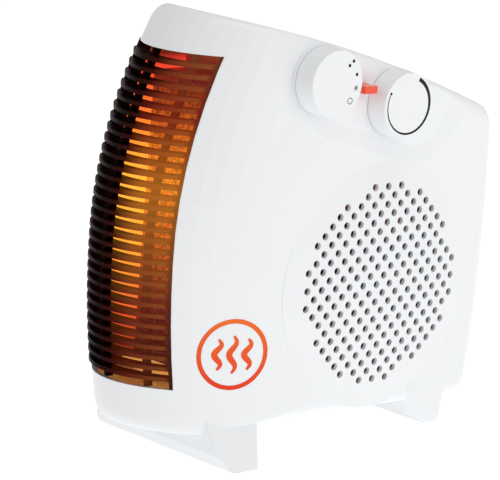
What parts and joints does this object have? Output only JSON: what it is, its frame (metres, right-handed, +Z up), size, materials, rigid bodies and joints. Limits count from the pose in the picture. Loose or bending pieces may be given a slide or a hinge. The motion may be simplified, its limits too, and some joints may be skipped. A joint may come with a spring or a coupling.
{
  "type": "ceramic space heater",
  "caption": "Upright white ceramic fan heater with a slatted bowed outlet in front, a round perforated intake on one side, two rotary knobs and two wide feet.",
  "frame": {"origin": "centre of the bounding box on the ground plane", "axes": "+Z up, -Y towards the warm-air outlet, +X towards the perforated intake side with the two knobs"},
  "size_m": [0.1323, 0.2437, 0.252],
  "materials": {
    "white_casing": "satin",
    "dark_grille": "satin",
    "heat_resistant_black": "matte",
    "sheet_steel": "satin",
    "heater_aluminium": "satin",
    "fired_ceramic": "matte",
    "brass_parts": "satin",
    "laminated_steel": "matte",
    "copper_winding": "satin",
    "turned_steel": "satin",
    "plated_screws": "satin",
    "orange_lens": "gloss",
    "lamp_glass": "gloss",
    "pale_insulator": "matte",
    "brown_lead": "matte",
    "red_lead": "matte",
    "blue_lead": "matte"
  },
  "bodies": {
    "casing": {"near_shell": "white_casing", "far_shell": "white_casing", "front_foot": "white_casing", "rear_foot": "white_casing", "outlet_grille": "dark_grille", "outlet_duct": "sheet_steel", "heater_frame": "heat_resistant_black", "ceramic_bars": "fired_ceramic", "heater_fins": "heater_aluminium", "heater_terminals": "brass_parts", "thermal_cutout": "heat_resistant_black", "cutout_bracket": "sheet_steel", "thermal_fuse": "brass_parts", "fan_shroud": "heat_resistant_black", "motor_stator": "laminated_steel", "motor_coil": "copper_winding", "front_bearing_bracket": "sheet_steel", "rear_bearing_bracket": "sheet_steel", "shaft_bushings": "brass_parts", "motor_spider": "sheet_steel", "motor_screws": "plated_screws", "selector_switch": "heat_resistant_black", "thermostat_body": "fired_ceramic", "thermostat_blade": "brass_parts", "control_screws": "plated_screws", "pilot_lens": "orange_lens", "pilot_lamp": "lamp_glass", "terminal_block": "pale_insulator", "cord_gland": "white_casing", "supply_leads": "brown_lead", "heater_leads": "red_lead", "motor_leads": "blue_lead", "shell_screws": "plated_screws", "foot_screws": "plated_screws", "shroud_screws": "plated_screws", "element_screws": "plated_screws"},
    "fan_rotor": {"impeller": "heat_resistant_black", "motor_rotor": "laminated_steel", "motor_shaft": "turned_steel"},
    "selector": {"selector_spindle": "turned_steel", "selector_knob": "white_casing"},
    "thermostat": {"thermostat_spindle": "turned_steel", "thermostat_knob": "white_casing"}
  },
  "joints": [
    {"name": "fan_spin", "type": "hinge", "parent": "casing", "child": "fan_rotor", "pos_m": [0.03155, 0.03096, 0.092], "axis": [1, 0, 0], "continuous": true},
    {"name": "selector_turn", "type": "hinge", "parent": "casing", "child": "selector", "pos_m": [0.05855, -0.01562, 0.21513], "axis": [1, 0, 0], "range_deg": [-60, 30]},
    {"name": "thermostat_turn", "type": "hinge", "parent": "casing", "child": "thermostat", "pos_m": [0.05855, 0.03914, 0.19588], "axis": [1, 0, 0], "range_deg": [-260, 0]}
  ]
}
